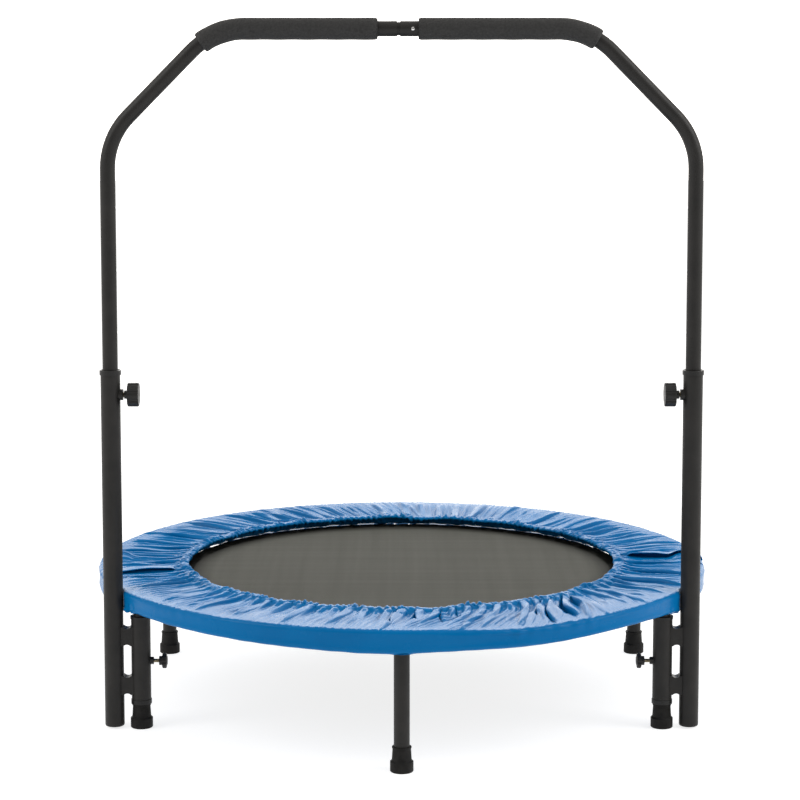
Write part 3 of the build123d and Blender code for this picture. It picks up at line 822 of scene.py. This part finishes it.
    def draw_in_rim(self):
        """Small puckers along the outer edge, strongest at the front right, and slow waves down the skirt."""
        side = (self.part == self.SIDE) | (self.part == self.EDGE)
        angle = self.angle[side]
        rim = np.exp(-((COVER_TOP - self.height[side]) / self.RIM_DEEP))
        drawn = np.clip(0.6 * Ripple(62, 4, 12)(angle), 0, 1) + 1.6 * near(angle, -64, 12)
        self.radius[side] += self.RIM_PUCKER * rim * Ripple(61, 60, 150)(angle) * drawn
        self.radius[side] += self.SKIRT_WAVE * Ripple(63, 9, 30)(angle, 2 * self.s[side])

    def cut_round_legs(self):
        """The tuck opens where a leg comes down."""
        tuck = self.part == self.TUCK
        angle, radius = self.angle[tuck], self.radius[tuck]
        legs = sum(near(angle, degrees, wide) for degrees, wide in self.LEGS)
        open_to = COVER_R - self.LEG_ROOM
        radius += np.clip(1.3 * legs, 0, 1) * (open_to - radius) * (radius < open_to)
        self.radius[tuck] = radius + self.TUCK_WAVE * Ripple(65, 30, 90)(angle) * self.s[tuck]

    def hang_skirt(self):
        """Moves the skirt's hem up or down: it is drawn up beside the front legs and crumpled at them."""
        angle, move = self.angle, self.HEM_MOVE
        low = smoothstep(COVER_TOP - 12 * MM, COVER_LOW, self.height) * (self.part >= self.EDGE)[:, None]
        forward = smoothstep(0.2, -0.1, np.sin(angle))
        hang = self.HEM_WAVE * Ripple(64, 5, 16)(angle) + move * (forward - 0.5) - move * near(angle, -90, 11)
        hang = hang + move * (near(angle, 218, 18) + near(angle, -38, 18))
        for degrees in self.POST_LEGS:
            hang = hang - move * near(angle, degrees, 2.6)
            crumple = near(angle, degrees, 5) * Ripple(70 + degrees, 90, 200)(angle, 4 * self.s)
            self.radius += self.HEM_CRUMPLE * crumple * low
        self.height += hang * low

    def droop_at_right(self):
        """The outer panel and the top of the skirt sink a little at the front right."""
        outer = smoothstep(PANEL_IN + 50 * MM, COVER_R - EDGE_ROUND, self.radius)
        sink = self.DROOP * near(self.angle, -66, 15)
        self.height -= sink * outer * (self.part < self.SIDE)[:, None]
        self.height -= sink * ((1 - self.s) * self.on(self.SIDE))

    # -------------------------------------------------------- slits and posts
    def slit(self, x, y, z):
        """Where each end of the rear panel lies over the front one as a raised lip."""
        radius, top = self.radius, self.top
        outer = smoothstep(PANEL_IN + 2 * MM, PANEL_IN + 20 * MM, radius)
        upper = np.where(top, 1.0, smoothstep(COVER_LOW, COVER_TOP, z))
        for side, at, slope, high in self.SLITS:
            away = y - at - slope * (np.abs(x) - self.SLIT_FROM)
            close = (side * x > 0) & (np.abs(away) < self.SLIT_REACH)
            risen = high * np.interp(away, self.SLIT_CUT, self.SLIT_LIP)
            shift = np.interp(away, self.SLIT_CUT, self.SLIT_MOVED) - away
            arch = 0.45 + 0.55 * np.exp(-((np.abs(x) - self.LIP_MIDDLE) / self.LIP_HALF) ** 2)
            blend = outer * smoothstep(COVER_R, COVER_R - 8 * MM, radius) if side < 0 else outer
            calm = 0.75 * np.where(close & top, outer * np.exp(-((away / (24 * MM)) ** 2)), 0)
            z = z + (np.interp(radius, *self.profile) - z) * calm
            y = y + np.where(close, shift * blend, 0)
            z = z + np.where(close, risen * arch * blend, 0) * upper
        hinge = np.exp(-((np.abs(x) - RING_R) / self.HINGE_WIDE) ** 4) * np.exp(-(y / self.HINGE_LONG) ** 2)
        return x, y, z + self.HINGE_HIGH * hinge * upper

    def clear_posts(self, x, y):
        """Keeps the cover clear of the posts, at rest and when the rear half is folded over."""
        soft, clear = self.POST_SOFT, POST_R + self.POST_GAP
        for side in (-1, 1):
            for end in (-1, 1):
                dx, dy = x - side * POST_X, y - end * abs(POST_Y)
                away = np.hypot(dx, dy)
                close = away < self.POST_REACH
                wanted = clear + soft * np.logaddexp(0, (away - clear) / soft)
                grow = np.where(close, wanted / away, 1)
                x, y = side * POST_X + dx * grow, end * abs(POST_Y) + dy * grow
        return x, y


def bend_at_fold(piece):
    """Bakes the piece's placement into its points; it stays one piece across the fold line."""
    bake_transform(piece)


def make_cover():
    cover = Cover()
    faces = grid_faces(len(cover.rows), COLUMNS)
    piece = mesh_object("cover", cover.points(), faces, blue)
    thick = piece.modifiers.new("thick", "SOLIDIFY")
    thick.thickness = VINYL_THICK
    thick.offset = -1
    bend_at_fold(piece)
    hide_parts("cover_front", "cover_rear")


make_cover()


# ---------------------------------------------------------------- jumping mat
MAT_THICK = 1.4 * MM
MAT_LEVEL = MAT_TOP - 0.2 * MM
SCALLOP = 1.2 * MM       # how far the mat's edge is drawn in between two springs


def make_mat():
    rings, spokes = 40, 384
    angle = np.arange(spokes) * TAU / spokes
    radius = np.linspace(0.02, 1.0, rings) ** 0.9 * MAT_R
    pull = SCALLOP * np.cos(SPRING_COUNT * angle + math.pi)
    grid = radius[:, None] + pull * smoothstep(0.8 * MAT_R, MAT_R, radius)[:, None]
    x, y = grid * np.cos(angle), grid * np.sin(angle)
    top = np.stack([x, y, np.full_like(x, MAT_LEVEL)], -1).reshape(-1, 3)
    points = np.concatenate([top, [[0, 0, MAT_LEVEL]]])
    faces = [list(face) for face in grid_faces(rings, spokes)]
    faces += [[rings * spokes, (index + 1) % spokes, index] for index in range(spokes)]
    piece = mesh_object("mat", points, faces, weave)
    piece.modifiers.new("thick", "SOLIDIFY").thickness = MAT_THICK
    bend_at_fold(piece)
    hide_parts("mat_front", "mat_rear")


make_mat()


# ---------------------------------------------------------------- triangular rings and springs
def triangle_ring():
    """A ring at azimuth 0: its straight side along the mat's edge, its tip towards the spring."""
    near_edge, tip, half, wire = MAT_R + 2.8 * MM, MAT_R + 23 * MM, 21 * MM, 1.5 * MM
    tip_half, tip_level = 1.5 * MM, MAT_TOP - 3.6 * MM
    corners = np.array([(near_edge, -half, MAT_LEVEL), (near_edge, half, MAT_LEVEL),
                        (tip, tip_half, tip_level), (tip, -tip_half, tip_level)])
    for share in (0.12, 0.25):
        # each pass cuts the corners, so that the wire bends round them
        after = np.roll(corners, -1, 0)
        cuts = [corners + (after - corners) * share, after + (corners - after) * share]
        corners = np.stack(cuts, 1).reshape(-1, 3)
    return swept_tube(corners, wire, 8, True)


def coil_spring():
    """One tension spring at azimuth 0, from a ring's tip to the frame, with a hook at each end."""
    level = RING_Z
    start, end = MAT_R + 28 * MM, RING_R - RING_TUBE - 11 * MM
    turns, steps, coil, wire = 21, 10, 4.1 * MM, 0.9 * MM
    t = np.linspace(0, 1, turns * steps + 1)
    swing = t * turns * TAU
    path = [(MAT_R + 20 * MM, 0, level - 4.4 * MM), (MAT_R + 18.4 * MM, 0, level - 2.6 * MM),
            (MAT_R + 20 * MM, 0, level + 0.2 * MM), (start - 2 * MM, 0, level + 1.6 * MM)]
    helix = [start + (end - start) * t, coil * np.sin(swing), level + coil * np.cos(swing)]
    path += list(np.stack(helix, -1))
    path += [(end + 3 * MM, 0, level + 2 * MM), (end + 8 * MM, 0, level + 1.2 * MM),
             (end + 13 * MM, 0, level - 0.2 * MM)]
    return swept_tube(path, wire, 6)


def spread_round(name, one):
    """Repeats one piece round the ring, as one object for each half of the frame."""
    points, faces = one
    for key, half in (("front", -1), ("rear", 1)):
        angles = [half * TAU / SPRING_COUNT * (index + 0.5) for index in range(SPRING_COUNT // 2)]
        copies = [(turn_z(points, angle), faces) for angle in angles]
        piece = mesh_object(name + "_" + key, *gather(copies), zinc)
        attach(piece, "frame_" + key)
        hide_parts("mat_" + name + "_" + key)


spread_round("rings", triangle_ring())
spread_round("springs", coil_spring())


# ---------------------------------------------------------------- foam grips
GRIP_BEND = 120 * MM         # the rail's bend radius under the grip
GRIP_STRAIGHT = 251.4 * MM   # where the bend starts, from the middle
GRIP_BORE = 12.6 * MM
GRIP_TURN = {"left": 36.0, "right": 31.5}   # degrees of the bend that the grip covers
GRIP_LENGTH = 285            # mm, for the rounding of the cut ends
END_DROP, END_LONG = 1.6 * MM, 1.2   # how far the cut ends are drawn in, and over how many mm
FOAM_WAVE = 0.15 * MM
GRIP_SIDES, STRAIGHT_STEPS, BEND_STEPS = 32, 70, 28


def grip_path(side, name, inner):
    """The rail's centre line through a grip: straight, then round the bend and down."""
    low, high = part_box("rail_coupler")
    level, depth = (low.z + high.z) / 2, (low.y + high.y) / 2
    straight = np.linspace(inner + 0.3 * MM, GRIP_STRAIGHT, STRAIGHT_STEPS)
    path = [(side * x, depth, level) for x in straight]
    for turn in np.linspace(0, math.radians(GRIP_TURN[name]), BEND_STEPS)[1:]:
        out, drop = GRIP_BEND * math.sin(turn), GRIP_BEND * (1 - math.cos(turn))
        path.append((side * (GRIP_STRAIGHT + out), depth, level - drop))
    return path


def make_grip(side, name):
    low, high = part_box("grip_" + name)
    path = grip_path(side, name, low.x if side > 0 else -high.x)
    count = len(path)
    along = np.linspace(0, 1, count)
    from_end = np.minimum(along, 1 - along) * GRIP_LENGTH
    radius = (high.y - low.y) / 2
    # the cut ends are rounded, and the foam is very slightly uneven along its length
    radii = radius - END_DROP * np.exp(-from_end / END_LONG) + FOAM_WAVE * np.sin(40 * along + side)
    outer = swept_tube(path, radii, GRIP_SIDES)
    inside = swept_tube(path[::-1], np.full(count, GRIP_BORE), GRIP_SIDES)
    points, faces = gather([outer, inside])
    outer_points = outer[0].reshape(count, GRIP_SIDES, 3)
    inner_points = inside[0].reshape(count, GRIP_SIDES, 3)
    for ring, partner in ((0, count - 1), (count - 1, 0)):
        # the bore runs the other way, so each point's nearest one on it is found
        gaps = ((inner_points[partner][None] - outer_points[ring][:, None]) ** 2).sum(2)
        close = np.argmin(gaps, 1)
        for i in range(GRIP_SIDES):
            j = (i + 1) % GRIP_SIDES
            start, across = ring * GRIP_SIDES, (count + partner) * GRIP_SIDES
            faces.append([start + i, start + j, across + int(close[j]), across + int(close[i])])
    piece = mesh_object("foam_grip_" + name, points, faces, foam)
    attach(piece, "handrail")
    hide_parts("grip_" + name)


make_grip(-1, "left")
make_grip(1, "right")
